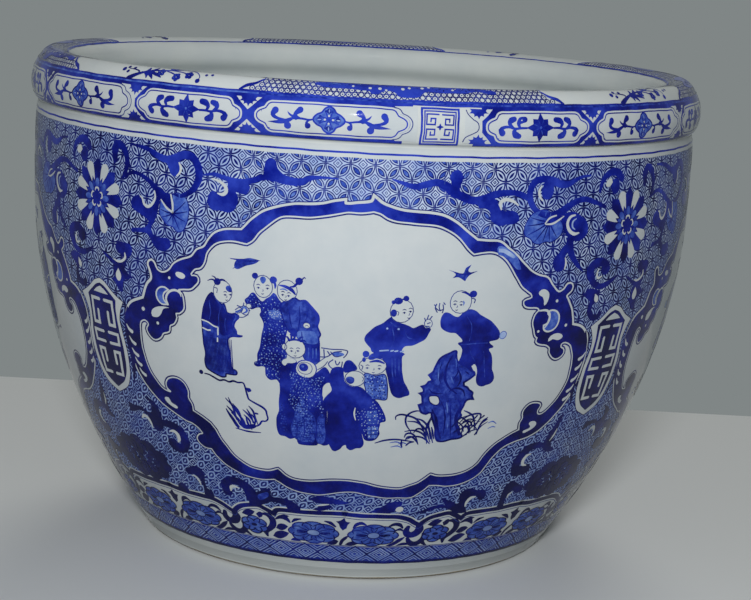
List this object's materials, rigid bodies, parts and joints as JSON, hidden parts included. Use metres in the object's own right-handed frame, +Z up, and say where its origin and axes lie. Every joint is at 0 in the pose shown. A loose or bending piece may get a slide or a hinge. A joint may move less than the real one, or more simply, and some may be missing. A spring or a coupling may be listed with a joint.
{
  "type": "fish bowl jardiniere",
  "caption": "Round tapered porcelain fish bowl jardiniere on a low foot ring, with a thick rolled rim, for a plant pot, soil or water.",
  "frame": {"origin": "centre of the circle that the foot ring stands on, at floor level", "axes": "+Z up along the bowl's round axis, -Y towards the panel that faces the picture's camera, +X to the right of it"},
  "size_m": [0.4064, 0.4064, 0.289],
  "materials": {
    "glaze_patterned": "glossy clear glaze over cobalt blue painting on white",
    "glaze_plain": "glossy white glaze",
    "bare_clay": "unglazed, finely sanded"
  },
  "bodies": {
    "root": {"foot_ring": "bare_clay", "base_slab": "glaze_plain", "lower_wall": "glaze_patterned", "upper_wall": "glaze_patterned", "rim_collar": "glaze_patterned"}
  },
  "joints": []
}
